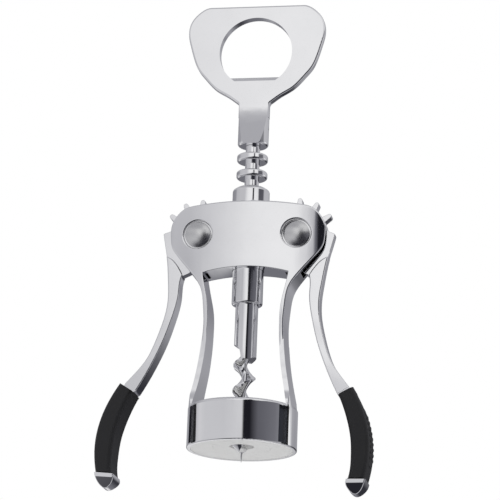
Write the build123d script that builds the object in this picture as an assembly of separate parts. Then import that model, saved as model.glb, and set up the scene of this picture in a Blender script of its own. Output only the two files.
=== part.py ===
"""Wing corkscrew: a cast frame with a bottle cup, two geared wings and a ringed rack that carries the worm.

Millimetres. +Z runs up the worm's axis, +X to the right wing and -Y to the front.
The origin is the centre of the cup's mouth, in the plane that rests on the bottle's lip.
"""
import os
from math import acos, asin, cos, degrees, hypot, pi, radians, sin, sqrt

from build123d import *

# ---- gear train -----------------------------------------------------------------------------------
ring_pitch = 7.14            # from one ring of the rack to the next
teeth_per_turn = 13          # teeth that a whole gear would have
teeth_on_wing = 7
gear_r = ring_pitch * teeth_per_turn / (2 * pi)
tooth_tip_r = 16.05          # from the pivot to a tooth's tip
tooth_root_r = 12.3          # the disc that the teeth stand on
tooth_root_half = 1.55       # half of a tooth's height at its root
tooth_tip_half = 0.95        # and where its rounded tip starts
tooth_round = 0.9            # length of the rounded tip
tooth_sunk = 1.5             # how far a tooth starts inside the disc
gear_half = 2.2              # half thickness of the toothed sector
rack_ring_r = 6.37
pitch_line_in = 0.87         # the rack's pitch line lies this far inside its rings' edge
pivot_x = rack_ring_r + gear_r - pitch_line_in
pivot_z = 88.36
first_tooth = 32.85          # angle of the first tooth of the right wing at rest
left_lift = 4.29             # the left wing rests this many degrees higher
clearance = 0.08             # radial, between pieces that slide or turn on each other
side_gap = 0.3               # between pieces of different bodies that only pass each other
past = 1.0                   # how far a cutter runs past the face that it cuts

# ---- frame: pivot plates ----------------------------------------------------------------------------
plate_depth = 15.7           # over the front and back plates, at the middle
plate_bow_r = 200.0          # both plates bow outwards across their width
plate_end_x = 27.4           # and roll off more tightly from here outwards
plate_end_r = 20.0
slot_depth = 8.4             # room for the wings between the plates
plate_top = 102.2            # at the middle of the crowned top edge
plate_crown = 1.5            # fall of that edge to the shoulders
leg_depth = 14.3
crown_half = 22.0
shoulder_top_r = 12.7        # plate's edge from the pivot, at the top, side and bottom of the shoulder
shoulder_side_r = 11.65
shoulder_low_r = 12.1
waist_x = 18.3               # where the plates run into the legs
waist_z = 65.9
waist_flare = (4.0, 6.1)     # from there out and up to the shoulder
plate_edge = 0.7             # rounding of the plate's outer edge
arch_z = 74.3                # crown of the window
arch_side_x = 17.64
arch_side_z = 72.1
window_side_in = 1.2         # the window's side lies this much further in at the waist's height
head_recess_r = 6.0          # counterbores for the rivet heads
head_recess_round = 0.6
head_seat_y = 5.3            # the heads' seats lie this far from the middle plane

# ---- frame: collar ----------------------------------------------------------------------------------
collar_r = 7.6
collar_height = 6.6
collar_round = 1.4
collar_root = 3.0            # the collar reaches this far down into the plates
bush_wall = 0.5
bush_length = 5.6

# ---- frame: legs ------------------------------------------------------------------------------------
leg_foot_depth = 20.0        # where the legs meet the cup
leg_thick = 1.75
leg_waist_x = 16.4           # outer face where the legs are closest
leg_waist_z = 51.9
leg_end_z = 10.0             # the legs run this far down behind the cup's rim
leg_foot_in = 0.5            # outer face of a leg's end inside the cup's outer face
leg_foot_thick = 2.35        # and the leg's thickness there
# outer and inner faces of a leg: share of the way out from the waist to the foot, and height
leg_outer = [(0.096, 58.6), (0.0, leg_waist_z), (0.067, 43.6), (0.308, 32.5), (0.77, 19.3)]
leg_inner = [(0.065, 58.3), (0.0, 49.9), (0.304, 32.4), (0.87, 18.7)]
# the legs' front and back faces, flaring towards the cup in the same way
leg_face = [(0.0, 44.0), (0.5, 32.0), (1.55, 22.0)]
leg_end_slope = 0.1          # sideways per unit of height, where the legs end inside the cup
foot_slope = 0.25

# ---- cup --------------------------------------------------------------------------------------------
cup_r = 22.1
cup_height = 17.15
cup_wall = 1.6
cup_edge_top = 1.5
cup_edge_low = 0.5
deck_thick = 1.55            # roof of the cup, round the cork's way up
slot_turn = 12.2             # width of the side slots, as an angle
slot_side = 0.07             # from a slot to the leg beside it
slot_low = 0.7
liner_thick = 1.3
seat_lip = 0.65              # the seat's rim, which covers the liner's end
seat_drop = 0.25             # its rim lies this far inside the mouth
dish_deep = 1.55             # depth of the dish at the worm
seat_thick = 1.5
seat_tube_wall = 1.2
seat_tube_top = 13.0
guide_r = 12.3               # flange of the worm guide
guide_step = 0.6             # its ledge in the seat
guide_thick = 3.0
guide_hole_r = 5.0

# ---- rack, handle and worm --------------------------------------------------------------------------
ring_height = 3.05
neck_r = 2.95
ring_round = 0.9
first_groove = 125.7         # middle of the top groove
groove_count = 7
rack_foot_z = 59.6
rack_foot_r = 6.3
spindle_r = 1.9
shank_r = 6.35               # handle's shank
shank_z = 127.6
handle_gap = 0.1             # endwise, between the sleeve and what turns on it
shank_round = 1.0
shank_top = 146.0            # where the flats have run out into the plate
neck_sunk = 6.0              # the plate's neck reaches this far down into the shank
# half depth over the shank's flats and height, below the plate
shank_flats = [(2.55, 140.5), (3.9, 134.0), (5.65, 126.4)]
flats_slope = 0.23           # of the flats at their lower end
opener_thick = 4.0
opener_edge = 0.8
neck_round = 2.0             # where the plate runs into the shank
opener_top = 189.2
opener_top_half = 19.6
# the plate's right edge from the end of its straight top down to the shank
opener_side = [(24.7, 186.8), (28.0, 182.6), (28.9, 178.0), (27.6, 171.2), (25.7, 165.0), (23.8, 161.0),
               (21.3, 157.9), (16.2, 152.6), (11.0, 149.4)]
opener_hole_r = 15.3
opener_hole_z = 168.6
opener_lip_z = 157.9         # the hole's flat lower lip
opener_rim_front = 2.2       # rounding of the hole's edge
opener_rim_back = 1.2
worm_pitch = 10.5
worm_lobe_z = 23.9           # the worm's ridge is furthest left here
worm_turns = 4.05
worm_core_r = 1.0
worm_ridge_r = 4.55
worm_edge_half = 0.35        # half thickness of the ridge's edge
worm_flank = (2.2, 2.45)     # a point of the ridge's hollow flank, from the axis and from the ridge's middle
worm_sunk = 0.15             # the ridge's root lies this far inside the core
worm_root_gap = 0.35         # from a root's end to halfway to the next turn
# how far the worm reaches from its axis towards the point, by height
worm_run_out = [(0.55, -1.0), (1.1, -0.7), (2.4, 0.4)]
worm_full_z = 3.5            # from here up the ridge is whole
worm_seam = 133              # keeps the seams of the round bodies clear of the ridge's start
worm_shank_r = 4.6
# lower end of the shank, scooped out on the left down to the core
worm_shank_end = [(-9.0, 43.6), (-4.6, 43.1), (-2.5, 41.9), (-1.3, 39.4), (-1.0, 37.2)]
worm_shank_corner = (2.0, 36.5)
worm_shank_right = (9.0, 40.3)
worm_tip_z = -4.9
worm_point_r = 0.08
shank_in_sleeve = 12.3       # how far the worm's shank reaches up into the sleeve
spindle_over_pin = 5.0       # the spindle ends this far above the handle's pin
cross_pin_r = 0.9
handle_pin_z = 135.0

# ---- wings ------------------------------------------------------------------------------------------
pin_r = 3.0
boss_r = 5.6
boss_gap = 0.3               # between a boss and the plate beside it
# the arm's half depth at these distances below the pivot
arm_depths = [(0.0, 3.0), (10.0, 3.0), (28.4, 3.9), (58.4, 4.5), (88.4, 4.9)]
# the arm's two edges, measured from the pivot
arm_outer = [(15.3, 0.6), (14.4, -3.2), (13.3, -7.2), (12.5, -10.4), (11.7, -14.5), (10.9, -19.4),
             (10.0, -26.0), (10.1, -33.0), (11.2, -39.0), (13.2, -46.6), (15.7, -53.2), (18.9, -58.2), (22.9, -63.4)]
arm_inner = [(5.2, -16.8), (5.7, -20.0), (5.6, -24.8), (6.9, -34.5), (9.1, -43.7), (12.8, -54.4),
             (15.6, -61.0), (18.2, -66.3)]
# the curved shoulder where the thicker arm starts below the toothed sector
arm_shoulder = [(19.0, -8.0), (12.7, -9.1), (10.2, -10.4), (7.6, -13.1), (5.2, -16.8), (4.2, -20.0)]
sector_top = (10.5, 2.7)     # the sector's two straight ends start inside its disc
sector_low = (-3.0, -12.2)
core_inner = [(20.4, -68.0), (24.2, -78.0), (26.0, -88.0), (25.4, -101.5)]
core_outer = [(28.4, -101.5), (29.9, -88.0), (28.4, -78.0), (24.6, -68.0)]
core_half = 4.4
arm_edge = 0.5               # rounding of the arm's long edges and of its shoulder
tip_shape = [(22.9, -101.0), (22.7, -103.0), (24.2, -105.4), (26.2, -106.5), (28.4, -105.4), (29.9, -103.2),
             (30.6, -101.0)]
tip_half = 6.6
tip_band = 1.6               # straight part of the metal end above its taper
tip_end_half = 2.6           # half depth of that taper, just past the lowest point
tip_edge = 0.5

# ---- grips ------------------------------------------------------------------------------------------
grip_inner = [(18.4, -67.0), (20.5, -72.2), (22.3, -78.0), (23.7, -85.0), (24.0, -91.5), (23.7, -97.5),
              (22.9, -101.0)]
grip_outer = [(30.6, -101.0), (31.7, -96.4), (32.4, -90.5), (32.1, -83.4), (30.3, -75.3), (28.2, -69.8),
              (25.0, -63.5)]
grip_half = 7.7
grip_round = 2.2

# ---- rivets -----------------------------------------------------------------------------------------
head_r = 5.4
head_height = 2.7
head_skirt = 0.9             # straight side below the dome
cap_socket = 1.2             # how far the pin's end stands in the rear cap

slot_half = slot_depth / 2
bore_r = rack_ring_r + clearance
cup_inner_r = cup_r - cup_wall
slot_to = degrees(acos((leg_foot_depth / 2 + slot_side) / cup_r))
slot_from = slot_to - slot_turn
cork_way_r = guide_r + seat_tube_wall + clearance
groove_half = (ring_pitch - ring_height) / 2
last_groove = first_groove - (groove_count - 1) * ring_pitch
spindle_low = rack_foot_z + past
tooth_step = 360 / teeth_per_turn


def flat(*edges):
    """A face in the XZ plane from its closed run of edges."""
    return Plane.XZ * make_face(edges)


def curve(points, start, end):
    """A smooth run through the points that leaves and arrives in the given directions."""
    return Spline(*points, tangents=(start, end), tangent_scalars=(1, 1))


def slab(face, half_depth):
    """The face of the XZ plane, made as thick as half_depth to the front and to the back."""
    return extrude(Pos(0, half_depth, 0) * face, 2 * half_depth, dir=(0, -1, 0))


def across(outline):
    """An outline in the YZ plane, made into a prism along X, wider than the whole tool."""
    half_width = 3 * cup_r
    return extrude(Plane.YZ.offset(-half_width) * make_face(outline), 2 * half_width, dir=(1, 0, 0))


def rod(radius, low, high):
    """A cylinder on the worm's axis between two heights."""
    return Pos(0, 0, low) * Cylinder(radius, high - low, align=(Align.CENTER, Align.CENTER, Align.MIN))


def cross_rod(radius, front, back, x, z):
    """A cylinder along Y between two depths."""
    turn = Pos(x, front, z) * Rot(-90, 0, 0)
    return turn * Cylinder(radius, back - front, align=(Align.CENTER, Align.CENTER, Align.MIN))


def polar(radius, angle):
    """The point at this angle and distance from the right pivot."""
    return (pivot_x + radius * cos(radians(angle)), pivot_z + radius * sin(radians(angle)))


def mirrored(points):
    """The points of the other side, in the order that closes the outline."""
    return [(-x, z) for x, z in reversed(points)]


# ---- frame ------------------------------------------------------------------------------------------
def silhouette():
    """Front view of the casting above the cup, with the space between the legs still filled."""
    flare = cup_r - leg_foot_in - leg_waist_x
    corner = (crown_half, plate_top - plate_crown)
    top = ThreePointArc((-corner[0], corner[1]), (0, plate_top), corner)
    side = [
        corner,
        polar(shoulder_top_r, 65),
        polar(shoulder_top_r - 0.2, 43),
        polar((shoulder_top_r + shoulder_side_r) / 2, 20),
        polar(shoulder_side_r, -2),
        polar(shoulder_low_r - 0.1, -27),
        polar(shoulder_low_r, -45),
        (waist_x + waist_flare[0], waist_z + waist_flare[1]),
        (waist_x, waist_z),
        *[(leg_waist_x + share * flare, height) for share, height in leg_outer],
        (leg_waist_x + flare, leg_end_z),
    ]
    fall = (top % 1).Y / (top % 1).X
    right = curve(side, (1, fall), (leg_end_slope, -1))
    left = curve(mirrored(side), (leg_end_slope, 1), (1, -fall))
    floor = Line(side[-1], (-side[-1][0], side[-1][1]))
    return flat(top, right, floor, left)


def window():
    """The opening under the pivot plates, as wide as the legs stand apart."""
    inner_waist = leg_waist_x - leg_thick
    flare = cup_r - leg_foot_in - leg_foot_thick - inner_waist
    side = [
        (arch_side_x, arch_side_z),
        (arch_side_x - window_side_in, waist_z),
        *[(inner_waist + share * flare, height) for share, height in leg_inner],
        (inner_waist + flare, cup_height - deck_thick),
    ]
    right = Spline(*side)
    left = Spline(*mirrored(side))
    arch = ThreePointArc((-arch_side_x, arch_side_z), (0, arch_z), (arch_side_x, arch_side_z))
    floor = Line(side[-1], (-side[-1][0], side[-1][1]))
    return flat(arch, right, floor, left)


def foot_side():
    """The flare of the legs towards the cup, seen from the side, as a prism along X."""
    foot = (leg_foot_depth / 2, cup_height + past)
    flare = [*[(leg_depth / 2 + out, height) for out, height in leg_face], foot]
    back = [curve(flare, (0, -1), (foot_slope, -1)), Line(foot, (foot[0], leg_end_z))]
    front = [mirror(edge, Plane.YZ) for edge in back]
    base = Line((foot[0], leg_end_z), (-foot[0], leg_end_z))
    lid = Line(flare[0], (-flare[0][0], flare[0][1]))
    return across([*back, base, *front, lid])


def cup_shell():
    """Cup wall and roof."""
    section = make_face(Polyline(
        (cup_inner_r, 0), (cup_r, 0), (cup_r, cup_height), (cork_way_r, cup_height),
        (cork_way_r, cup_height - deck_thick), (cup_inner_r, cup_height - deck_thick), close=True))
    outer = section.vertices().sort_by(Axis.X)[-2:].sort_by(Axis.Y)
    section = fillet(outer[0], cup_edge_low)
    top = section.vertices().sort_by(Axis.X)[-2:].sort_by(Axis.Y)[-1]
    return revolve(Plane.XZ * fillet(top, cup_edge_top), Axis.Z)


def side_slots():
    """The four slots in the cup's side, one beside each corner of the legs."""
    reach = cup_r + past
    low_ray = Vector(sin(radians(slot_from)), -cos(radians(slot_from)))
    high_ray = Vector(sin(radians(slot_to)), -cos(radians(slot_to)))
    depth = cup_inner_r - past
    corners = [low_ray * depth, low_ray * reach, high_ray * reach, high_ray * depth]
    slot = Pos(0, 0, slot_low) * extrude(make_face(Polyline(*corners, close=True)), cup_height - deck_thick - slot_low)
    for plane in (Plane.YZ, Plane.XZ):
        slot += mirror(slot, plane)
    return slot


def bowed_block():
    """The space between the two bowed faces of the casting, as a prism along Z."""
    bow_rise = plate_end_x / plate_bow_r
    end_rise = bow_rise + (pivot_x + shoulder_top_r + past - plate_end_x) / plate_end_r
    bow = JernArc((0, plate_depth / 2), (1, 0), plate_bow_r, -degrees(asin(bow_rise)))
    end = JernArc(bow @ 1, bow % 1, plate_end_r, degrees(asin(bow_rise) - asin(end_rise)))
    side = Line(end @ 1, ((end @ 1).X, 0))
    quarter = [bow, end, side]
    half = [*quarter, *[mirror(edge, Plane.XZ) for edge in quarter]]
    outline = [*half, *[mirror(edge, Plane.YZ) for edge in half]]
    return extrude(Plane.XY * make_face(outline), plate_top + past, dir=(0, 0, 1))


def make_frame():
    casting = slab(silhouette(), plate_depth) & bowed_block()
    faces = casting.faces().filter_by(lambda face: abs(face.normal_at().Y) > 0.9)
    rim = faces.edges().filter_by(lambda edge: edge.center().Z > leg_end_z + plate_edge)
    casting = fillet(rim, plate_edge)
    feet = slab(silhouette(), plate_depth) & foot_side()
    window_cut = slab(window(), plate_depth)
    collar = rod(collar_r, plate_top - collar_root, plate_top + collar_height)
    collar = fillet(collar.edges().sort_by(Axis.Z)[-1], collar_round)
    frame = casting + feet - window_cut + collar
    low = leg_end_z - past
    outside_cup = rod(cup_r + leg_foot_depth, low, leg_waist_z) - rod(cup_r, low - past, leg_waist_z + past)
    frame -= outside_cup + rod(cup_inner_r, low, cup_height - deck_thick)
    frame = frame - rod(cork_way_r, low, cup_height + past) + cup_shell() - side_slots()
    collar_top = plate_top + collar_height
    frame -= rod(bore_r, waist_z, collar_top + past)
    frame -= rod(bore_r + bush_wall, collar_top - bush_length, collar_top + past)
    for x in (-pivot_x, pivot_x):
        frame -= cross_rod(tooth_tip_r + side_gap + clearance, -slot_half, slot_half, x, pivot_z)
        frame -= cross_rod(pin_r, -plate_depth, plate_depth, x, pivot_z)
        frame -= cross_rod(head_recess_r, -plate_depth, -head_seat_y, x, pivot_z)
        frame -= cross_rod(head_recess_r, head_seat_y, plate_depth, x, pivot_z)
    return fillet(frame.edges().filter_by(is_recess_mouth), head_recess_round)


def is_recess_mouth(edge):
    """Whether the edge is where a counterbore for a rivet head opens on the plate's face."""
    middle, size = edge.center(CenterOf.BOUNDING_BOX), edge.bounding_box().size
    at_pivot = abs(abs(middle.X) - pivot_x) < 0.05 and abs(middle.Z - pivot_z) < 0.05
    return at_pivot and abs(middle.Y) > head_seat_y + 0.1 and size.Z > 2 * head_recess_r - 0.05


def make_guide_bush():
    top = plate_top + collar_height - side_gap
    bottom = plate_top + collar_height - bush_length
    return rod(bore_r + bush_wall, bottom, top) - rod(bore_r, bottom - past, top + past)


def make_cup_liner():
    low = seat_drop + seat_lip
    high = cup_height - deck_thick
    return rod(cup_inner_r, low, high) - rod(cup_inner_r - liner_thick, low - past, high + past)


def dish_z(radius):
    """Height of the dish's underside at this distance from the axis."""
    share = 1 - (radius / cup_inner_r) ** 2
    return seat_drop + (dish_deep - seat_drop) * share


def make_bottle_seat():
    tube_r = guide_r + clearance
    hole_r = guide_r - guide_step
    body_r = cup_inner_r - liner_thick
    ledge = dish_z(hole_r) + seat_thick / 2
    dish = Spline((cup_inner_r, dish_z(cup_inner_r)), ((cup_inner_r + hole_r) / 2, dish_z((cup_inner_r + hole_r) / 2)),
                  (hole_r, dish_z(hole_r)))
    upper = Polyline((hole_r, dish_z(hole_r)), (hole_r, ledge), (tube_r, ledge), (tube_r, seat_tube_top),
                     (tube_r + seat_tube_wall, seat_tube_top), (tube_r + seat_tube_wall, ledge + seat_thick),
                     (body_r, ledge + seat_thick), (body_r, seat_drop + seat_lip),
                     (cup_inner_r, seat_drop + seat_lip), (cup_inner_r, dish_z(cup_inner_r)))
    return revolve(Plane.XZ * make_face([dish, upper]), Axis.Z)


def make_worm_guide():
    hole_r = guide_r - guide_step
    ledge = dish_z(hole_r) + seat_thick / 2 + 0.05
    nose_r = hole_r - clearance
    middle_r = (nose_r + guide_hole_r) / 2
    top = ledge + guide_thick - seat_thick / 2
    dish = Spline((nose_r, dish_z(nose_r)), (middle_r, dish_z(middle_r)), (guide_hole_r, dish_z(guide_hole_r)))
    upper = Polyline((guide_hole_r, dish_z(guide_hole_r)), (guide_hole_r, top), (guide_r, top), (guide_r, ledge),
                     (nose_r, ledge), (nose_r, dish_z(nose_r)))
    return revolve(Plane.XZ * make_face([dish, upper]), Axis.Z)


# ---- rivets -----------------------------------------------------------------------------------------
def dome():
    """A shallow domed head that stands on the XY plane."""
    rise = head_height - head_skirt
    crown_r = (head_r ** 2 + rise ** 2) / (2 * rise)
    return rod(head_r, 0, head_height) & Pos(0, 0, head_height - crown_r) * Sphere(crown_r)


def make_pivot_pin(side):
    head = Pos(side * pivot_x, -head_seat_y, pivot_z) * Rot(90, 0, 0) * dome()
    return head + cross_rod(pin_r, -head_seat_y - head_skirt, head_seat_y + cap_socket, side * pivot_x, pivot_z)


def make_rear_cap(side):
    head = Pos(side * pivot_x, head_seat_y, pivot_z) * Rot(-90, 0, 0) * dome()
    return head - cross_rod(pin_r, head_seat_y - past, head_seat_y + cap_socket, side * pivot_x, pivot_z)


# ---- rack, handle, spindle and worm -----------------------------------------------------------------
def make_rack_sleeve():
    section = Polyline((0, rack_foot_z), (rack_foot_r, rack_foot_z), (rack_foot_r, last_groove - groove_half),
                       (0, last_groove - groove_half), close=True)
    foot = make_face(section)
    foot = fillet(foot.vertices().sort_by(Axis.X)[-2:], ring_round)
    sleeve = revolve(Plane.XZ * foot, Axis.Z)
    sleeve += rod(neck_r, last_groove - groove_half - past, shank_z - handle_gap)
    ring = make_face(Polyline((0, -ring_height / 2), (rack_ring_r, -ring_height / 2), (rack_ring_r, ring_height / 2),
                              (0, ring_height / 2), close=True))
    ring = revolve(Plane.XZ * fillet(ring.vertices().sort_by(Axis.X)[-2:], ring_round), Axis.Z)
    for number in range(groove_count - 1):
        sleeve += Pos(0, 0, first_groove - (number + 0.5) * ring_pitch) * ring
    sleeve -= rod(spindle_r + clearance / 2, rack_foot_z - past, shank_z + past)
    return sleeve - rod(worm_shank_r + clearance / 2, rack_foot_z - past, rack_foot_z + shank_in_sleeve + handle_gap)


def opener_outline():
    """Front view of the opener plate and the neck that runs down into the shank."""
    half = [(opener_top_half, opener_top), *opener_side, (shank_r, shank_top)]
    right = curve(half, (1, 0), (-1, -0.7))
    left = curve(mirrored(half), (-1, 0.7), (1, 0))
    top = Line((-opener_top_half, opener_top), (opener_top_half, opener_top))
    neck_end = shank_top - neck_sunk
    neck = Polyline(half[-1], (shank_r, neck_end), (-shank_r, neck_end), (-shank_r, shank_top))
    outline = make_face([top, right, neck, left])
    corners = outline.vertices().sort_by(Axis.Y)[2:4]
    return Plane.XZ * fillet(corners, neck_round)


def opener_hole():
    """Round hole with a flat lower lip that catches the cap."""
    drop = opener_hole_z - opener_lip_z
    corner = sqrt(opener_hole_r ** 2 - drop ** 2)
    arc = ThreePointArc((corner, opener_lip_z), (0, opener_hole_z + opener_hole_r), (-corner, opener_lip_z))
    return flat(arc, Line((-corner, opener_lip_z), (corner, opener_lip_z)))


def flats_side():
    """The shank's flats seen from the side, running out into the plate, as a prism along X."""
    top = (opener_thick / 2, shank_top)
    back = curve([top, *shank_flats], (0, -1), (flats_slope, -1))
    front = mirror(back, Plane.YZ)
    lid = shank_top + 2 * past
    above = Polyline(top, (top[0], lid), (-top[0], lid), (-top[0], top[1]))
    low = shank_flats[-1]
    return across([back, above, front, Line((-low[0], low[1]), low)])


def make_opener_handle():
    plate = slab(opener_outline(), opener_thick / 2)
    outer = plate.edges().filter_by(Plane.XZ).sort_by(Axis.Z)[2:]
    plate = fillet(outer, opener_edge)
    plate -= slab(opener_hole(), opener_thick)
    plate = fillet(hole_rim(plate, -1), opener_rim_front)
    plate = fillet(hole_rim(plate, 1), opener_rim_back)
    shank = rod(shank_r, shank_z, shank_top + past)
    shank = fillet(shank.edges().sort_by(Axis.Z)[0], shank_round)
    handle = plate + (shank & flats_side())
    handle -= rod(spindle_r, shank_z - past, handle_pin_z + spindle_over_pin)
    return handle - make_cross_pin(handle_pin_z, shank_r + past)


def hole_rim(plate, side):
    """The edges of the opener's hole on its front (-1) or back (1) face."""
    rim = plate.edges().filter_by(Plane.XZ).filter_by(
        lambda edge: hypot(edge.center().X, edge.center().Z - opener_hole_z) < opener_hole_r)
    return rim.filter_by(lambda edge: abs(edge.center().Y - side * opener_thick / 2) < 0.01)


def make_spindle():
    spindle = rod(spindle_r, spindle_low, handle_pin_z + spindle_over_pin)
    for height in (handle_pin_z, worm_pin_z()):
        spindle -= make_cross_pin(height, shank_r)
    return spindle


def worm_pin_z():
    """Height of the pin that joins the worm's shank to the spindle."""
    return rack_foot_z + shank_in_sleeve / 2


def make_cross_pin(height, half_length):
    return Pos(0, 0, height) * Rot(0, 90, 0) * Cylinder(cross_pin_r, 2 * half_length)


def ridge_section():
    """Cross-section of the worm's ridge: its edge outside, its two hollow flanks and its root inside the core."""
    root = (worm_core_r - worm_sunk, worm_pitch / 2 - worm_root_gap)
    edge = (worm_ridge_r, worm_edge_half)
    upper = ThreePointArc(edge, worm_flank, root)
    lower = ThreePointArc((root[0], -root[1]), (worm_flank[0], -worm_flank[1]), (edge[0], -edge[1]))
    return Plane.XZ * make_face([Line(lower @ 1, upper @ 0), upper, Line(upper @ 1, lower @ 0), lower])


def run_out():
    """The room of the worm: a sharp point below, then wider up to its full size."""
    side = [(worm_point_r, worm_tip_z), *worm_run_out, (worm_ridge_r + past, worm_full_z)]
    room = [(0, worm_tip_z), *side, (worm_ridge_r + past, rack_foot_z), (0, rack_foot_z)]
    return revolve(Plane.XZ * make_face(Polyline(*room, close=True)), Axis.Z)


def make_worm():
    low = worm_lobe_z - 2.5 * worm_pitch
    path = Helix(worm_pitch, worm_pitch * worm_turns, worm_ridge_r / 2)
    ridge = Pos(0, 0, low) * sweep(ridge_section(), path=path, is_frenet=True)
    core = Rot(0, 0, worm_seam) * rod(worm_core_r, worm_tip_z - past, worm_shank_corner[1] + past)
    auger = (ridge + core) & Rot(0, 0, worm_seam) * run_out()
    top = rack_foot_z + shank_in_sleeve
    shank = rod(worm_shank_r, worm_shank_corner[1] - past, top)
    first, last = worm_shank_end[0], worm_shank_right
    below = Polyline(worm_shank_end[-1], worm_shank_corner, last, (last[0], low), (first[0], low), first)
    shank -= slab(flat(Spline(*worm_shank_end), below), 2 * worm_shank_r)
    worm = auger + shank - rod(spindle_r, spindle_low, top + past)
    return worm - make_cross_pin(worm_pin_z(), worm_shank_r + past)


# ---- wings ------------------------------------------------------------------------------------------
def tooth():
    """One tooth, pointing along +X from the pivot at the origin."""
    flank_end = tooth_tip_r - tooth_round
    tip = ThreePointArc((flank_end, -tooth_tip_half), (tooth_tip_r, 0), (flank_end, tooth_tip_half))
    root = tooth_root_r - tooth_sunk
    rest = Polyline((flank_end, tooth_tip_half), (root, tooth_root_half), (root, -tooth_root_half),
                    (flank_end, -tooth_tip_half))
    return slab(flat(tip, rest), gear_half)


def arm_side():
    """The arm seen from the side, as a prism along X."""
    back = [(half, -drop) for drop, half in arm_depths]
    front = [(-half, z) for half, z in reversed(back)]
    top = (arm_depths[0][1], tooth_tip_r)
    lid = Polyline(front[-1], (-top[0], top[1]), top, back[0])
    return across([Spline(*back), Line(back[-1], front[0]), Spline(*front), lid])


def arm_body():
    """Cast arm from the hub to the start of the grip, as thin as the sector above its shoulder."""
    outer = Spline(*arm_outer)
    inner = Spline(*reversed(arm_inner))
    outline = flat(outer, Line(arm_outer[-1], arm_inner[-1]), inner,
                   Polyline(arm_inner[0], sector_low, sector_top, arm_outer[0]))
    first, last = arm_shoulder[0], arm_shoulder[-1]
    around_hub = Polyline(last, (-tooth_tip_r, last[1]), (-tooth_tip_r, tooth_tip_r), (first[0], tooth_tip_r), first)
    hub = flat(Spline(*arm_shoulder), around_hub)
    thick = (slab(outline, grip_half) & arm_side()) - slab(hub, grip_half + past)
    seen = thick.edges().filter_by(lambda edge: abs(edge.center().Y) > gear_half and edge.center().Z > arm_outer[-1][1])
    return slab(outline, gear_half) + fillet(seen, arm_edge)


def core_and_tip():
    """The part of the arm inside the grip, with the metal end that shows below it."""
    run = [arm_inner[-1], *core_inner]
    back = [*core_outer, arm_outer[-1]]
    core = slab(flat(Spline(*run), Line(run[-1], back[0]), Spline(*back), Line(back[-1], run[0])), core_half)
    end = slab(flat(Spline(*tip_shape), Line(tip_shape[-1], tip_shape[0])), tip_half)
    low, high = tip_shape[3][1], tip_shape[0][1]
    taper = [(tip_half, high), (tip_half, high - tip_band), (tip_end_half, low - past)]
    outline = [*taper, *[(-y, z) for y, z in reversed(taper)]]
    end &= across(Polyline(*outline, close=True))
    seen = end.edges().filter_by(lambda edge: edge.center().Z < high - tip_edge)
    return core + fillet(seen, tip_edge)


def make_wing(side):
    """Right wing about the origin, then set at its pivot; the left one is its mirror image, lifted a little."""
    wing = slab(flat(Circle(tooth_root_r).edge()), gear_half)
    for number in range(teeth_on_wing):
        wing += Rot(0, -(first_tooth + number * tooth_step), 0) * tooth()
    wing += arm_body() + core_and_tip()
    boss_half = slot_half - boss_gap
    wing += cross_rod(boss_r, -boss_half, boss_half, 0, 0)
    wing -= cross_rod(pin_r + clearance, -slot_half, slot_half, 0, 0)
    return placed(wing, side)


def placed(shape, side):
    if side > 0:
        return Pos(pivot_x, 0, pivot_z) * shape
    return Pos(-pivot_x, 0, pivot_z) * Rot(0, left_lift, 0) * mirror(shape, Plane.YZ)


def make_grip(side):
    """Rubber sleeve that fills the step between the arm and its metal end."""
    inner = Spline(*grip_inner)
    outer = Spline(*grip_outer)
    grip = slab(flat(inner, Line(grip_inner[-1], grip_outer[0]), outer, Line(grip_outer[-1], grip_inner[0])), grip_half)
    long_edges = grip.edges().sort_by(SortBy.LENGTH)[-4:]
    grip = fillet(long_edges, grip_round)
    return placed(grip - arm_body() - core_and_tip(), side)


# ---- all nodes --------------------------------------------------------------------------------------
def nodes():
    """Every piece by its node name."""
    yield "frame", make_frame()
    yield "guide_bush", make_guide_bush()
    yield "cup_liner", make_cup_liner()
    yield "bottle_seat", make_bottle_seat()
    yield "worm_guide", make_worm_guide()
    yield "rack_sleeve", make_rack_sleeve()
    yield "opener_handle", make_opener_handle()
    yield "spindle", make_spindle()
    yield "handle_pin", make_cross_pin(handle_pin_z, shank_r - clearance)
    yield "worm", make_worm()
    yield "worm_pin", make_cross_pin(worm_pin_z(), worm_shank_r - clearance)
    for name, side in (("left", -1), ("right", 1)):
        yield "pivot_pin_" + name, make_pivot_pin(side)
        yield "rear_cap_" + name, make_rear_cap(side)
        yield "wing_" + name, make_wing(side)
        yield "grip_" + name, make_grip(side)


if __name__ == "__main__":
    os.makedirs("parts", exist_ok=True)
    for name, shape in nodes():
        export_step(shape, "parts/" + name + ".step")
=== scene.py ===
"""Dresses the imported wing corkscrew: smooth chrome castings, turned and satin steel, rubber grips and the studio."""
from math import cos, pi, radians, sin

import bmesh
import bpy
from mathutils import Matrix, Vector
from mathutils.bvhtree import BVHTree


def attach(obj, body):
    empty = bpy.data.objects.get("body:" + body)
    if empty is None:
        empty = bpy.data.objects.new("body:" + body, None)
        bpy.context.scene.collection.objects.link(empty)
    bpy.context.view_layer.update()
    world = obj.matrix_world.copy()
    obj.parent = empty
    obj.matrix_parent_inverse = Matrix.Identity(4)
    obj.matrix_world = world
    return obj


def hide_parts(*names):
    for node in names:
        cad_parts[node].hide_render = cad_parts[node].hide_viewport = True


bl_info = {
    "name": "Wing Corkscrew",
    "version": (1, 0, 0),
    "blender": (4, 5, 0),
    "location": "View3D > Sidebar > Corkscrew",
    "description": "Builds the visible pieces of a wing corkscrew round its packed frame",
    "category": "Add Mesh",
}

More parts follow.
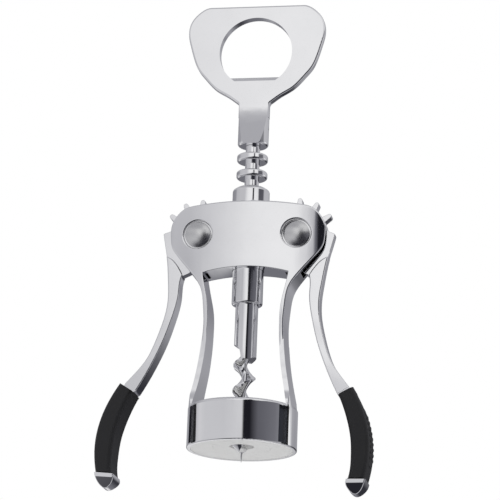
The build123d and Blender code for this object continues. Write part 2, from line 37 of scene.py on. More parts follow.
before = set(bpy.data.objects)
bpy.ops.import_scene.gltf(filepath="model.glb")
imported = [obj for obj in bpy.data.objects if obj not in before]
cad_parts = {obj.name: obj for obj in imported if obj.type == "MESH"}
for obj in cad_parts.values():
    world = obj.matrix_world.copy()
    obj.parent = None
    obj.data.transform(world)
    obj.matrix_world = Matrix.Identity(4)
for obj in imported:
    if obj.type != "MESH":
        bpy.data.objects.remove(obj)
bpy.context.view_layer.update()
MM = 0.001
MERGE = 0.002 * MM
NEAR = 0.01 * MM
ON_CUT = 0.0001 * MM    # a cutting plane takes up corners that are nearer than this
FLAT = radians(0.2)     # faces that turn less than this are joined into one
HARD = radians(50)      # edges that turn more than this are rounded
BUSH_EDGE = 0.1 * MM
LEFT_LIFT = 4.29        # degrees that the left wing rests higher than the right one

# the grips' pads, from a wing's pivot, with the wing hanging straight down on the right
PAD_FACE = 30.5 * MM    # how far out the face is where the pad's ends are given
PAD_TOP = -72.2 * MM
PAD_LOW = -95.5 * MM
PAD_TOP_LEAN = 0.45     # how much the two ends lean, as a share of the way out
PAD_LOW_LEAN = -0.1
PAD_RISE = 0.22 * MM
PAD_SHOULDER = 0.35 * MM
OUTER = 0.75            # least share of a face's normal that points out, for a face under the pad
BEYOND = 60 * MM        # further out than any grip
ROWS = range(-2, 3)     # rows of pimples across the pad
ROW_GAP = 0.8           # from row to row, as a share of the pimples' pitch
FIRST_PIMPLE = 0.9      # from the pad's top to a row's first pimple, as a share of the pitch
STAGGER = 0.5           # how much lower every other row starts, as a share of the pitch
PIMPLE_FLAT = 0.42      # height of a dome as a share of its radius
PIMPLE_SUNK = 0.03 * MM

MARKS = 5200            # turning marks and drawn lines in a metre


# ---- sizes and colours that a user would change -----------------------------------------------------
def length(name, default, text):
    """A length that is written here in millimetres."""
    return bpy.props.FloatProperty(name=name, description=text, default=default * MM, min=0, subtype="DISTANCE",
                                   unit="LENGTH", precision=5)


def tone(name, default, text):
    return bpy.props.FloatVectorProperty(name=name, description=text, default=default, size=3, min=0, max=1,
                                         subtype="COLOR")


class CorkscrewSizes(bpy.types.PropertyGroup):
    edge: length("Casting edge", 0.25, "Rounding of the castings' sharp edges")
    pivot_x: length("Pivot distance", 20.273, "From the worm's axis to a pivot")
    pivot_z: length("Pivot height", 88.36, "Height of the pivots above the cup's mouth")
    edge_from: length("Edge rounding from", 46.0, "The casting's edges above this height are rounded")
    bore_clear: length("Bore left sharp", 7.4, "Within this distance of the worm's axis the casting's edges stay sharp")
    gear_half: length("Sector half depth", 2.2, "Half thickness of the toothed sectors")
    skin: length("Grip skin", 0.51, "How far the rubber lies inside its pad's face")
    pad_half: length("Pad half width", 4.5, "Half width of the raised pad on a grip")
    pimple_r: length("Pimple radius", 0.75, "Radius of the pimples on the pad")
    pimple_step: length("Pimple pitch", 2.28, "From one pimple to the next")


class CorkscrewColours(bpy.types.PropertyGroup):
    chrome: tone("Chrome", (0.90, 0.90, 0.91), "Bright plate of the castings")
    satin: tone("Satin steel", (0.74, 0.74, 0.74), "Rivet heads")
    steel: tone("Drawn steel", (0.60, 0.60, 0.60), "Spindle and cross pins")
    nylon: tone("Nylon", (0.05, 0.05, 0.05), "Bush in the collar")
    liner: tone("Liner", (0.018, 0.02, 0.028), "Black plastic inside the cup")
    seat: tone("Seat", (0.88, 0.88, 0.875), "Pale plastic of the dish")
    rubber: tone("Rubber", (0.012, 0.012, 0.0135), "Grips")
    floor: tone("Floor", (0.85, 0.85, 0.85), "Floor under the tool")


# ---- shader tools -----------------------------------------------------------------------------------
class Value:
    """A number that changes over a surface. Sums written with it add Math nodes."""

    def __init__(self, shader, socket):
        self.shader = shader
        self.socket = socket

    def math(self, operation, *numbers):
        return self.shader.value("ShaderNodeMath", {"operation": operation}, dict(enumerate(numbers)))

    def __add__(self, other):
        return self.math("ADD", self, other)

    def __sub__(self, other):
        return self.math("SUBTRACT", self, other)

    def __rsub__(self, other):
        return self.math("SUBTRACT", other, self)

    def __mul__(self, other):
        return self.math("MULTIPLY", self, other)

    def __truediv__(self, other):
        return self.math("DIVIDE", self, other)

    def __rtruediv__(self, other):
        return self.math("DIVIDE", other, self)

    __radd__ = __add__
    __rmul__ = __mul__


class Shader:
    """A material and its node tree, with a Principled surface unless it is told otherwise."""

    def __init__(self, name):
        self.material = bpy.data.materials.new(name)
        self.material.use_nodes = True
        self.tree = self.material.node_tree
        self.surface = self.tree.nodes["Principled BSDF"]
        self.output = self.tree.nodes["Material Output"]
        self.place = self.socket("ShaderNodeTexCoord", {}, {}, "Object")

    def node(self, kind, settings, inputs):
        """Adds a node, with its settings first and then the values or links of its sockets."""
        made = self.tree.nodes.new(kind)
        for key, setting in settings.items():
            if key == "stops":
                ramp = made.color_ramp.elements
                while len(ramp) < len(setting):
                    ramp.new(0.5)
                for element, (position, colour) in zip(ramp, setting):
                    element.position = position
                    element.color = (*colour, 1)
            else:
                setattr(made, key, setting)
        self.plug(made, inputs)
        return made

    def plug(self, made, inputs):
        """Links or sets the node's inputs, each given by its name or number."""
        for key, given in inputs.items():
            if isinstance(given, Value):
                given = given.socket
            if isinstance(given, bpy.types.NodeSocket):
                self.tree.links.new(given, made.inputs[key])
            else:
                made.inputs[key].default_value = given

    def socket(self, kind, settings, inputs, output=0):
        return self.node(kind, settings, inputs).outputs[output]

    def value(self, kind, settings, inputs, output=0):
        return Value(self, self.socket(kind, settings, inputs, output))

    def noise(self, scale, detail=2.0, roughness=0.5, place=None):
        """Cloudy noise from 0 to 1, with scale features in a metre."""
        return self.value("ShaderNodeTexNoise", {}, {"Vector": place or self.place, "Scale": scale, "Detail": detail,
                                                     "Roughness": roughness})

    def mapped(self, scale, shift=(0, 0, 0)):
        """The place on the piece, scaled and then moved."""
        return self.socket("ShaderNodeMapping", {}, {"Vector": self.place, "Scale": scale, "Location": shift})

    def step(self, number, low, high):
        """Runs smoothly from 0 to 1 while number goes from low to high."""
        return self.value("ShaderNodeMapRange", {"interpolation_type": "SMOOTHSTEP"}, {0: number, 1: low, 2: high})

    def mix(self, share, first, second):
        """From the first colour to the second, each a colour or a socket."""
        return self.socket("ShaderNodeMix", {"data_type": "RGBA"}, {0: share, 6: rgba(first), 7: rgba(second)}, 2)

    def bump(self, height, distance, strength):
        normal = self.socket("ShaderNodeBump", {}, {"Height": height, "Distance": distance, "Strength": strength})
        self.plug(self.surface, {"Normal": normal})

    def finish(self, **sockets):
        """Sets the surface's own sockets, named with _ for each space, and hands back the material."""
        names = {key: key.replace("_", " ") for key in sockets}
        self.plug(self.surface, {names[key]: given for key, given in sockets.items()})
        return self.material


def rgba(colour):
    """A socket as it is, or a colour with its fourth number."""
    return colour if isinstance(colour, bpy.types.NodeSocket) else (*colour, 1)


def shade(colour, share):
    """The colour, darker or lighter by the share."""
    return tuple(min(1.0, part * share) for part in colour)


# ---- finishes ---------------------------------------------------------------------------------------
def plated(name, colour, dull=0.035):
    """Bright chrome plate on a casting: slow ripples, faint smears and dust."""
    shader = Shader(name)
    smear = shader.step(shader.noise(55, 4.0, 0.6), 0.35, 0.75)
    dust = shader.step(shader.noise(2600, 2.0), 0.55, 0.8)
    roughness = dull + smear * 0.035 + dust * 0.03
    tinted = shader.mix(smear, colour, shade(colour, 0.965))
    shader.bump(shader.noise(70, 1.0), 0.06 * MM, 0.35)
    return shader.finish(Base_Color=tinted, Metallic=1.0, Roughness=roughness)


def turned(name, colour):
    """Plate on turned steel: fine rings across the axis under the plate."""
    shader = Shader(name)
    rings = shader.noise(1.0, 2.0, 0.5, shader.mapped((60, 60, MARKS)))
    smear = shader.step(shader.noise(90, 4.0, 0.6), 0.35, 0.8)
    roughness = 0.05 + rings * 0.03 + smear * 0.04
    shader.bump(rings, 0.004 * MM, 0.5)
    return shader.finish(Base_Color=shader.mix(smear, colour, shade(colour, 0.95)), Metallic=1.0, Roughness=roughness)


def satin(name, colour, centre_x, centre_z):
    """Satin steel head: fine circles round the rivet's own axis and a soft blotchy sheen."""
    shader = Shader(name)
    round_axis = shader.mapped((1, 0, 1), (-centre_x, 0, -centre_z))
    radius = shader.value("ShaderNodeVectorMath", {"operation": "LENGTH"}, {0: round_axis}, 1)
    circles = shader.noise(1.0, 2.0, 0.6, shader.socket("ShaderNodeCombineXYZ", {}, {"X": radius * MARKS}))
    cloud = shader.noise(420, 3.0, 0.6)
    shader.bump(circles + cloud * 0.6, 0.012 * MM, 0.6)
    tinted = shader.mix(cloud, shade(colour, 0.9), colour)
    return shader.finish(Base_Color=tinted, Metallic=1.0, Roughness=0.2 + circles * 0.1 + cloud * 0.06)


def drawn(name, colour):
    """Drawn rod: fine lines along the rod."""
    shader = Shader(name)
    lines = shader.noise(1.0, 3.0, 0.6, shader.mapped((MARKS, MARKS, 90)))
    shader.bump(lines, 0.008 * MM, 0.6)
    return shader.finish(Base_Color=shader.mix(lines, shade(colour, 0.8), colour), Metallic=1.0,
                         Roughness=0.24 + lines * 0.16)


def moulded(name, colour, dull, grain=2200, depth=0.02 * MM):
    """Moulded plastic: spark-eroded grain and slightly uneven gloss."""
    shader = Shader(name)
    grains = shader.noise(grain, 3.0, 0.65)
    cloud = shader.noise(140, 3.0, 0.5)
    shader.bump(grains, depth, 0.5)
    tinted = shader.mix(cloud, shade(colour, 0.94), colour)
    return shader.finish(Base_Color=tinted, Roughness=dull + grains * 0.08 + cloud * 0.06)


def soft_rubber(name, colour):
    """Matt black rubber: fine skin, faint dust and slightly polished patches."""
    shader = Shader(name)
    skin = shader.noise(3400, 3.0, 0.7)
    cloud = shader.noise(120, 4.0, 0.6)
    dust = shader.step(skin * 0.5 + cloud * 0.5, 0.5, 0.72)
    shader.bump(skin, 0.03 * MM, 0.5)
    tinted = shader.mix(dust * 0.5, colour, shade(colour, 1.9))
    return shader.finish(Base_Color=tinted, Roughness=0.5 + cloud * 0.12 + skin * 0.06, Specular_IOR_Level=0.42)


# ---- shape tools ------------------------------------------------------------------------------------
def show(shape, name, body, nodes, material, smooth=32.0):
    """Makes the finished mesh a piece that rides on its body and stands for its nodes.

    Edges that turn by less than smooth, in degrees, are shaded soft.
    """
    mesh = bpy.data.meshes.new(name)
    shape.to_mesh(mesh)
    shape.free()
    loaded = mesh.attributes.get("custom_normal")
    if loaded:
        mesh.attributes.remove(loaded)
    mesh.materials.append(material)
    mesh.shade_smooth()
    mesh.set_sharp_from_angle(angle=radians(smooth))
    piece = bpy.data.objects.new(name, mesh)
    bpy.context.scene.collection.objects.link(piece)
    modifier = piece.modifiers.new("Flat faces lead", "WEIGHTED_NORMAL")
    modifier.mode = "FACE_AREA"
    modifier.weight = 50
    modifier.keep_sharp = True
    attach(piece, body)
    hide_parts(*nodes)


def merged(node):
    """The node's own mesh with its doubles merged."""
    shape = bmesh.new()
    shape.from_mesh(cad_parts[node].data)
    bmesh.ops.remove_doubles(shape, verts=shape.verts, dist=MERGE)
    return shape


def from_cad(node, edge=0.0, wanted=None):
    """The node's merged mesh with its flat regions joined and its sharp edges rounded where wanted."""
    shape = merged(node)
    bmesh.ops.dissolve_limit(shape, angle_limit=FLAT, use_dissolve_boundaries=False, verts=shape.verts,
                             edges=shape.edges, delimit=set())
    if edge:
        hard = [line for line in shape.edges if line.is_manifold and line.calc_face_angle() > HARD]
        if wanted:
            hard = [line for line in hard if all(wanted(vert.co) for vert in line.verts)]
        bmesh.ops.bevel(shape, geom=hard, offset=edge, offset_type="OFFSET", segments=2, profile=0.5, affect="EDGES",
                        clamp_overlap=False, loop_slide=True, material=-1)
    return shape


def joined(*shapes):
    """All the shapes in the first one."""
    first = shapes[0]
    for shape in shapes[1:]:
        mesh = bpy.data.meshes.new("part")
        shape.to_mesh(mesh)
        shape.free()
        first.from_mesh(mesh)
        bpy.data.meshes.remove(mesh)
    return first


def along(point, direction, side):
    """The matrix that sets a shape of the XY plane at the point, facing in the direction."""
    forward = direction.normalized()
    first = (side - forward * side.dot(forward)).normalized()
    second = forward.cross(first)
    return Matrix.Translation(point) @ Matrix((first, second, forward)).transposed().to_4x4()


# ---- the pieces -------------------------------------------------------------------------------------
class CORKSCREW_OT_casting(bpy.types.Operator):
    """Frame casting with its plates, collar, legs and cup."""

    bl_idname = "corkscrew.casting"
    bl_label = "Frame casting"

    def execute(self, context):
        sizes, colours = context.scene.corkscrew_sizes, context.scene.corkscrew_colours
        chrome = plated("casting_chrome", tuple(colours.chrome))
        shape = from_cad("frame", sizes.edge, lambda place: self.rounded(place, sizes))
        show(shape, "frame_casting", "frame", ["frame"], chrome, smooth=50.0)
        return {"FINISHED"}

    def rounded(self, place, sizes):
        """Whether edges here are rounded: those above the legs' lower ends and clear of the bore's narrow ledges."""
        return place.z > sizes.edge_from and place.xy.length > sizes.bore_clear


class CORKSCREW_OT_cup(bpy.types.Operator):
    """Bush, liner, bottle seat and worm guide."""

    bl_idname = "corkscrew.cup"
    bl_label = "Cup and bush"

    def execute(self, context):
        colours = context.scene.corkscrew_colours
        nylon = moulded("bush_nylon", tuple(colours.nylon), dull=0.5)
        show(from_cad("guide_bush", BUSH_EDGE), "collar_bush", "frame", ["guide_bush"], nylon)
        gloss = moulded("liner_gloss", tuple(colours.liner), dull=0.38, grain=700, depth=0.01 * MM)
        show(from_cad("cup_liner"), "liner_ring", "frame", ["cup_liner"], gloss)
        pale = moulded("seat_plastic", tuple(colours.seat), dull=0.42)
        show(from_cad("bottle_seat"), "seat_dish", "frame", ["bottle_seat"], pale)
        show(from_cad("worm_guide"), "guide_disc", "guide", ["worm_guide"], pale)
        return {"FINISHED"}


class CORKSCREW_OT_rivets(bpy.types.Operator):
    """Domed rivet heads on their pins, and the caps at the back."""

    bl_idname = "corkscrew.rivets"
    bl_label = "Rivets"

    def execute(self, context):
        sizes, colours = context.scene.corkscrew_sizes, context.scene.corkscrew_colours
        for side, name in ((-1, "left"), (1, "right")):
            steel = satin("rivet_satin_" + name, tuple(colours.satin), side * sizes.pivot_x, sizes.pivot_z)
            for piece, node in (("rivet_", "pivot_pin_" + name), ("cap_", "rear_cap_" + name)):
                show(from_cad(node), piece + name, "frame", [node], steel)
        return {"FINISHED"}


class CORKSCREW_OT_rack(bpy.types.Operator):
    """Ringed rack sleeve."""

    bl_idname = "corkscrew.rack"
    bl_label = "Rack"

    def execute(self, context):
        colours = context.scene.corkscrew_colours
        chrome = turned("rack_chrome", tuple(colours.chrome))
        show(from_cad("rack_sleeve"), "rack_rings", "rack", ["rack_sleeve"], chrome)
        return {"FINISHED"}


class CORKSCREW_OT_handle(bpy.types.Operator):
    """Cap opener with its shank, the spindle and the two cross pins."""

    bl_idname = "corkscrew.handle"
    bl_label = "Opener handle"

    def execute(self, context):
        colours = context.scene.corkscrew_colours
        chrome = plated("opener_chrome", tuple(colours.chrome), dull=0.03)
        show(from_cad("opener_handle"), "cap_opener", "handle", ["opener_handle"], chrome)
        steel = drawn("spindle_steel", tuple(colours.steel))
        for node, name in (("spindle", "spindle_rod"), ("handle_pin", "upper_pin"), ("worm_pin", "lower_pin")):
            show(from_cad(node), name, "handle", [node], steel)
        return {"FINISHED"}


class CORKSCREW_OT_worm(bpy.types.Operator):
    """Auger worm with its shank."""

    bl_idname = "corkscrew.worm"
    bl_label = "Worm"

    def execute(self, context):
        colours = context.scene.corkscrew_colours
        chrome = plated("worm_chrome", tuple(colours.chrome), dull=0.03)
        show(from_cad("worm"), "worm_auger", "handle", ["worm"], chrome, smooth=40.0)
        return {"FINISHED"}


class CORKSCREW_OT_wings(bpy.types.Operator):
    """Both geared wings."""

    bl_idname = "corkscrew.wings"
    bl_label = "Wings"

    def execute(self, context):
        sizes, colours = context.scene.corkscrew_sizes, context.scene.corkscrew_colours
        chrome = plated("wing_chrome", tuple(colours.chrome), dull=0.06)
        for name in ("left", "right"):
            node = "wing_" + name
            shape = from_cad(node, sizes.edge, lambda place: self.on_sector(place, sizes))
            show(shape, "arm_" + name, node, [node], chrome, smooth=55.0)
        return {"FINISHED"}

    def on_sector(self, place, sizes):
        """Whether this place is on the front or back face of a toothed sector."""
        return abs(abs(place.y) - sizes.gear_half) < NEAR


class CORKSCREW_OT_grips(bpy.types.Operator):
    """Rubber grips with their pimpled pads."""

    bl_idname = "corkscrew.grips"
    bl_label = "Grips"

    def execute(self, context):
        sizes, colours = context.scene.corkscrew_sizes, context.scene.corkscrew_colours
        rubber = soft_rubber("grip_rubber", tuple(colours.rubber))
        for name, side in (("left", -1), ("right", 1)):
            sleeve = merged("grip_" + name)
            local = wing_place(sizes, side)
            for vert in sleeve.verts:
                vert.co -= vert.normal * sizes.skin
            self.raise_pad(sleeve, local, sizes)
            show(joined(sleeve, *self.pimples(sleeve, local, sizes)), "sleeve_" + name, "wing_" + name,
                 ["grip_" + name], rubber)
        return {"FINISHED"}

    def raise_pad(self, sleeve, local, sizes):
        """Lifts the middle of the outer face, from a step near the top down to a little above the metal end."""
        turn = local.to_3x3()
        outward = (turn @ Vector((1, 0, 0))).normalized()
        cuts = (
            ((PAD_FACE, 0, PAD_TOP), (PAD_TOP_LEAN, 0, 1)),
            ((PAD_FACE, 0, PAD_LOW), (PAD_LOW_LEAN, 0, 1)),
            ((0, sizes.pad_half, 0), (0, 1, 0)),
            ((0, -sizes.pad_half, 0), (0, 1, 0)),
        )
        for start, across in cuts:
            outer = self.outer_faces(sleeve, outward)
            lines = dict.fromkeys(line for face in outer for line in face.edges)    # once each, in a fixed order
            verts = dict.fromkeys(vert for face in outer for vert in face.verts)
            bmesh.ops.bisect_plane(sleeve, geom=[*outer, *lines, *verts], dist=ON_CUT, plane_co=local @ Vector(start),
                                   plane_no=turn @ Vector(across))
        back = local.inverted()
        pad = []
        for face in self.outer_faces(sleeve, outward):
            middle = back @ face.calc_center_median()
            out = middle.x - PAD_FACE
            in_run = PAD_LOW - PAD_LOW_LEAN * out < middle.z < PAD_TOP - PAD_TOP_LEAN * out
            if in_run and abs(middle.y) < sizes.pad_half:
                pad.append(face)
        bmesh.ops.inset_region(sleeve, faces=pad, thickness=PAD_SHOULDER, depth=PAD_RISE, use_even_offset=True,
                               use_boundary=True)

    def outer_faces(self, sleeve, outward):
        return [face for face in sleeve.faces if face.normal.dot(outward) > OUTER]

    def pimples(self, sleeve, local, sizes):
        """Domes in staggered rows, each square to the pad where it stands."""
        tree = BVHTree.FromBMesh(sleeve)
        turn = local.to_3x3()
        inward, sideways = turn @ Vector((-1, 0, 0)), turn @ Vector((0, 1, 0))
        made = []
        for row in ROWS:
            height = PAD_TOP - (FIRST_PIMPLE + STAGGER * (row % 2)) * sizes.pimple_step
            while height > PAD_LOW + sizes.pimple_step:
                start = local @ Vector((BEYOND, row * ROW_GAP * sizes.pimple_step, height))
                point, normal, _, _ = tree.ray_cast(start, inward)
                made.append(self.dome(sizes.pimple_r, along(point, normal, sideways)))
                height -= sizes.pimple_step * abs((turn.inverted() @ normal).x)
        return made

    def dome(self, radius, place):
        """A flattened half ball with its open rim a little under the surface."""
        shape = bmesh.new()
        bmesh.ops.create_uvsphere(shape, u_segments=12, v_segments=8, radius=radius)
        bmesh.ops.bisect_plane(shape, geom=[*shape.verts, *shape.edges, *shape.faces], plane_co=(0, 0, 0),
                               plane_no=(0, 0, -1), clear_outer=True)
        bmesh.ops.scale(shape, vec=(1, 1, PIMPLE_FLAT), verts=shape.verts)
        bmesh.ops.translate(shape, vec=(0, 0, -PIMPLE_SUNK), verts=shape.verts)
        bmesh.ops.transform(shape, matrix=place, verts=shape.verts)
        return shape


def wing_place(sizes, side):
    """From a wing's own place, with its pivot at the origin and to the right, to where it is on the tool."""
    turn = Matrix.Identity(4)
    if side < 0:
        turn = Matrix.Rotation(radians(LEFT_LIFT), 4, "Y") @ Matrix.Scale(-1, 4, (1, 0, 0))
    return Matrix.Translation((side * sizes.pivot_x, 0, sizes.pivot_z)) @ turn


# ---- studio -----------------------------------------------------------------------------------------
# the cloth of the light tent: elevation, then azimuth from the front towards +X and grey; all angles in degrees
TENT = [
    (-70, [(-180, 0.60), (-115, 0.60), (-85, 0.02), (50, 0.02), (80, 0.60), (180, 0.60)]),
    (-40, [(-180, 0.14), (-150, 0.25), (-100, 0.45), (-50, 0.40), (-25, 0.03), (60, 0.03), (90, 0.30), (130, 0.30),
           (180, 0.14)]),
    (-22, [(-180, 0.18), (-175, 0.20), (-172, 0.80), (-110, 0.80), (-60, 0.60), (-20, 0.50), (-8, 0.40), (6, 0.03),
           (50, 0.03), (70, 0.20), (96, 0.50), (125, 0.50), (138, 0.03), (168, 0.03), (180, 0.18)]),
    (-17, [(-180, 0.16), (-150, 0.18), (-120, 0.42), (-60, 0.60), (-20, 0.70), (-8, 0.60), (6, 0.03), (50, 0.03),
           (70, 0.20), (96, 0.50), (125, 0.50), (138, 0.03), (168, 0.03), (180, 0.16)]),
    (-12, [(-180, 0.16), (-150, 0.18), (-120, 0.42), (-60, 0.60), (-20, 0.70), (-8, 0.60), (6, 0.03), (50, 0.03),
           (70, 0.20), (96, 0.50), (125, 0.50), (138, 0.03), (168, 0.03), (180, 0.16)]),
    (5, [(-180, 0.36), (-150, 0.34), (-125, 0.34), (-108, 0.46), (-88, 0.66), (-72, 0.60), (-28, 0.58), (-10, 0.62),
         (0, 0.66), (9, 0.68), (12, 0.012), (25, 0.012), (42, 0.12), (80, 0.17), (96, 0.25), (104, 0.95), (125, 0.95),
         (135, 0.40), (150, 0.34), (180, 0.36)]),
    (8.6, [(-180, 0.34), (-150, 0.30), (-117, 0.46), (-60, 0.58), (-28, 0.55), (-16, 0.60), (-12, 0.26), (-9, 0.26),
           (-5, 0.66), (9, 0.75), (12, 0.012), (26, 0.012), (40, 0.11), (80, 0.16), (96, 0.25), (103, 0.95),
           (120, 0.95), (130, 0.38), (150, 0.32), (180, 0.34)]),
    (9.4, [(-180, 0.32), (-150, 0.28), (-117, 0.46), (-60, 0.58), (-28, 0.55), (-16, 0.70), (-10, 0.95), (-2, 0.85),
           (10, 0.80), (13, 0.012), (27, 0.012), (38, 0.11), (80, 0.16), (96, 0.25), (103, 0.95), (118, 0.95),
           (128, 0.36), (150, 0.31), (180, 0.32)]),
    (13, [(-180, 0.24), (-150, 0.24), (-117, 0.42), (-79, 0.46), (-45, 0.52), (-28, 0.50), (-22, 0.62), (-10, 0.72),
          (-2, 0.85), (12, 0.89), (14, 0.012), (28, 0.012), (34, 0.10), (80, 0.15), (96, 0.25), (102, 0.95),
          (116, 0.95), (126, 0.35), (150, 0.28), (180, 0.24)]),
    (15.5, [(-180, 0.22), (-150, 0.22), (-117, 0.42), (-79, 0.46), (-45, 0.52), (-28, 0.50), (-22, 0.62),
            (-10, 0.84), (-2, 0.89), (4, 0.88), (9, 0.60), (14, 0.16), (20, 0.012), (44, 0.012), (52, 0.10), (80, 0.15),
            (96, 0.25), (102, 0.95), (116, 0.95), (126, 0.35), (150, 0.28), (180, 0.22)]),
    (19.4, [(-180, 0.25), (-150, 0.24), (-117, 0.36), (-87, 0.50), (-45, 0.54), (-28, 0.54), (-20, 0.66),
            (-10, 0.84), (0, 0.89), (4, 0.88), (9, 0.60), (14, 0.16), (20, 0.012), (44, 0.012), (52, 0.10), (90, 0.12),
            (100, 0.60), (116, 0.70), (150, 0.40), (180, 0.25)]),
    (20.4, [(-180, 0.30), (-150, 0.25), (-100, 0.30), (-87, 0.50), (-60, 0.55), (-28, 0.55), (-20, 0.68),
            (-10, 0.84), (0, 0.89), (19, 0.89), (21, 0.02), (27, 0.02), (30, 0.90), (52, 0.85), (60, 0.09),
            (90, 0.10), (100, 0.50), (150, 0.50), (165, 0.30), (180, 0.30)]),
    (32, [(-180, 0.45), (-150, 0.40), (-117, 0.50), (-60, 0.60), (-30, 0.65), (-10, 0.87), (10, 0.87), (20, 0.50),
          (30, 0.50), (40, 0.85), (70, 0.70), (96, 0.60), (150, 0.40), (180, 0.45)]),
    (48, [(-180, 0.50), (-60, 0.45), (-10, 0.42), (10, 0.50), (20, 0.85), (60, 0.85), (90, 0.50), (180, 0.50)]),
    (75, [(-180, 0.45), (20, 0.50), (180, 0.45)]),
]
TENT_R = 0.5
TENT_Z = 0.08
FLOOR_Z = -0.040        # lower than the worm's tip ever goes
FLOOR_R = 4.0
# painted light: towards its far edge the floor's colour runs up to this, so that the far floor fades into the white
# surroundings
FLOOR_EDGE = (0.97, 0.97, 0.97)
LAMP_SIZE = 0.9
KEY_PLACE, KEY_POWER = (1.1, -0.45, 0.8), 12.0
FILL_PLACE, FILL_POWER = (-0.9, -0.8, 0.9), 3.5
DIM = 0.62              # strength of the surroundings as light, against 1 where they are seen
AIM_Z = 0.08328         # height that the camera looks at
CAMERA_FAR = 1.0266
CAMERA_ROUND, CAMERA_UP, CAMERA_ROLL = radians(10.68), radians(-16.18), radians(2.18)
LENS = 181.24
SHIFT = 0.00176


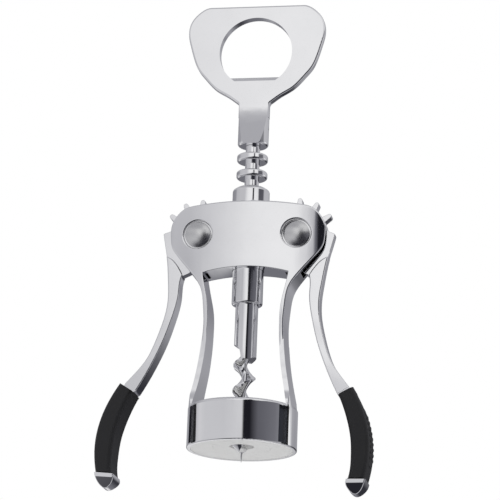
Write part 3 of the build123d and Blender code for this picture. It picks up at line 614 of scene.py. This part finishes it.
class CORKSCREW_OT_studio(bpy.types.Operator):
    """Floor, light tent, lamps, surroundings and camera."""

    bl_idname = "corkscrew.studio"
    bl_label = "Studio"

    def execute(self, context):
        colours = context.scene.corkscrew_colours
        self.floor(tuple(colours.floor))
        self.tent()
        self.surroundings(context.scene)
        self.lamp("key_lamp", KEY_PLACE, KEY_POWER)
        self.lamp("fill_lamp", FILL_PLACE, FILL_POWER)
        self.camera(context.scene)
        context.scene.view_settings.view_transform = "Standard"
        return {"FINISHED"}

    def floor(self, colour):
        """A pale floor that is seen from above only, so that the tool can also be looked at from below."""
        shape = bmesh.new()
        bmesh.ops.create_circle(shape, cap_ends=True, radius=FLOOR_R, segments=96)
        bmesh.ops.translate(shape, verts=shape.verts, vec=(0, 0, FLOOR_Z))
        shader = Shader("floor_paint")
        away = shader.value("ShaderNodeVectorMath", {"operation": "LENGTH"}, {0: shader.place}, 1)
        speck = shader.noise(300, 3.0)
        near = shader.mix(speck, colour, shade(colour, 0.97))
        # painted light: from 0.45 m to 1.6 m out the floor is painted lighter, up to FLOOR_EDGE, so that its far part
        # fades into the white surroundings
        shader.finish(Base_Color=shader.mix(shader.step(away, 0.45, 1.6), near, FLOOR_EDGE), Roughness=0.9)
        below = shader.socket("ShaderNodeNewGeometry", {}, {}, "Backfacing")
        clear = shader.socket("ShaderNodeBsdfTransparent", {}, {})
        both = shader.socket("ShaderNodeMixShader", {}, {0: below, 1: shader.surface.outputs[0], 2: clear})
        shader.plug(shader.output, {"Surface": both})
        self.put(shape, "floor", shader.material).visible_glossy = False

    def tent(self):
        """A light tent of pale and dark cloth that only bright metal sees."""
        shape = bmesh.new()
        bmesh.ops.create_uvsphere(shape, u_segments=64, v_segments=32, radius=TENT_R)
        bmesh.ops.reverse_faces(shape, faces=shape.faces)
        bmesh.ops.translate(shape, verts=shape.verts, vec=(0, 0, TENT_Z))
        shader = Shader("tent_cloth")
        east, north, up = self.parts(shader)
        turn = east.math("ARCTAN2", east, 0 - north) / (2 * pi) + 0.5
        rise = up.math("ARCSINE", (up - TENT_Z) / TENT_R) * (180 / pi)
        rows = [shader.socket("ShaderNodeValToRGB", {"stops": grey_stops(row)}, {"Fac": turn}) for _, row in TENT]
        cloth = rows[0]
        for (low, _), (high, _), row in zip(TENT, TENT[1:], rows[1:]):
            cloth = shader.mix(shader.step(rise, low, high), cloth, row)
        light = shader.socket("ShaderNodeEmission", {}, {"Color": cloth})
        shader.plug(shader.output, {"Surface": light})
        made = self.put(shape, "light_tent", shader.material)
        made.visible_camera = False
        made.visible_diffuse = False
        made.visible_transmission = False
        made.visible_volume_scatter = False
        made.visible_shadow = False

    def parts(self, shader):
        split = shader.node("ShaderNodeSeparateXYZ", {}, {"Vector": shader.place})
        return [Value(shader, split.outputs[number]) for number in range(3)]

    def put(self, shape, name, material):
        """Makes the finished mesh a part of the studio."""
        mesh = bpy.data.meshes.new(name)
        shape.to_mesh(mesh)
        shape.free()
        mesh.materials.append(material)
        made = bpy.data.objects.new(name, mesh)
        bpy.context.scene.collection.objects.link(made)
        return made

    def surroundings(self, scene):
        """White where it is seen, mirrored or seen through something clear, and softer as light."""
        world = bpy.data.worlds.new("surroundings")
        scene.world = world
        world.use_nodes = True
        tree = world.node_tree
        path = tree.nodes.new("ShaderNodeLightPath")
        seen = path.outputs["Is Camera Ray"]
        for ray in ("Is Glossy Ray", "Is Transmission Ray"):
            either = tree.nodes.new("ShaderNodeMath")
            either.operation = "MAXIMUM"
            tree.links.new(seen, either.inputs[0])
            tree.links.new(path.outputs[ray], either.inputs[1])
            seen = either.outputs[0]
        level = tree.nodes.new("ShaderNodeMapRange")
        level.inputs["To Min"].default_value = DIM
        level.inputs["To Max"].default_value = 1.0
        tree.links.new(seen, level.inputs["Value"])
        back = tree.nodes["Background"]
        back.inputs["Color"].default_value = (1, 1, 1, 1)
        tree.links.new(level.outputs[0], back.inputs["Strength"])

    def lamp(self, name, place, power):
        """A round lamp that points at the tool and isn't mirrored in it."""
        data = bpy.data.lights.new(name, "AREA")
        data.shape = "DISK"
        data.size = LAMP_SIZE
        data.energy = power
        lamp = bpy.data.objects.new(name, data)
        lamp.location = place
        lamp.rotation_mode = "QUATERNION"
        lamp.rotation_quaternion = (Vector((0, 0, TENT_Z)) - lamp.location).to_track_quat("-Z", "Y")
        lamp.visible_glossy = False
        bpy.context.scene.collection.objects.link(lamp)

    def camera(self, scene):
        """A long lens, a little below and to the right of the tool, rolled by two degrees."""
        data = bpy.data.cameras.new("camera")
        data.sensor_width = 36.0
        data.lens = LENS
        data.shift_x = SHIFT
        data.clip_start = 0.01
        data.clip_end = 50
        camera = bpy.data.objects.new("camera", data)
        level = cos(CAMERA_UP)
        back = Vector((sin(CAMERA_ROUND) * level, -cos(CAMERA_ROUND) * level, sin(CAMERA_UP)))
        roll = Matrix.Rotation(CAMERA_ROLL, 3, "Z").to_quaternion()
        camera.location = Vector((0, 0, AIM_Z)) + back * CAMERA_FAR
        camera.rotation_mode = "QUATERNION"
        camera.rotation_quaternion = (-back).to_track_quat("-Z", "Y") @ roll
        scene.collection.objects.link(camera)
        scene.camera = camera


def grey_stops(row):
    """Ramp stops for a row of the tent; its darker greys are a little blue."""
    return [(angle / 360 + 0.5, (grey, grey, grey ** 0.93)) for angle, grey in row]


class CORKSCREW_PT_sidebar(bpy.types.Panel):
    """The corkscrew's sizes, colours and pieces."""

    bl_label = "Wing Corkscrew"
    bl_idname = "CORKSCREW_PT_sidebar"
    bl_space_type = "VIEW_3D"
    bl_region_type = "UI"
    bl_category = "Corkscrew"

    def draw(self, context):
        for group in (context.scene.corkscrew_sizes, context.scene.corkscrew_colours):
            for key in group.__annotations__:
                self.layout.prop(group, key)
        for operator in OPERATORS:
            self.layout.operator(operator.bl_idname)


OPERATORS = (
    CORKSCREW_OT_casting, CORKSCREW_OT_cup, CORKSCREW_OT_rivets, CORKSCREW_OT_rack, CORKSCREW_OT_handle,
    CORKSCREW_OT_worm, CORKSCREW_OT_wings, CORKSCREW_OT_grips, CORKSCREW_OT_studio,
)
CLASSES = (CorkscrewSizes, CorkscrewColours, *OPERATORS, CORKSCREW_PT_sidebar)


def register():
    for one in CLASSES:
        bpy.utils.register_class(one)
    bpy.types.Scene.corkscrew_sizes = bpy.props.PointerProperty(type=CorkscrewSizes)
    bpy.types.Scene.corkscrew_colours = bpy.props.PointerProperty(type=CorkscrewColours)


def unregister():
    del bpy.types.Scene.corkscrew_sizes
    del bpy.types.Scene.corkscrew_colours
    for one in reversed(CLASSES):
        bpy.utils.unregister_class(one)


def main():
    register()
    for operator in OPERATORS:
        group, name = operator.bl_idname.split(".")
        getattr(getattr(bpy.ops, group), name)()


if __name__ == "__main__":
    main()
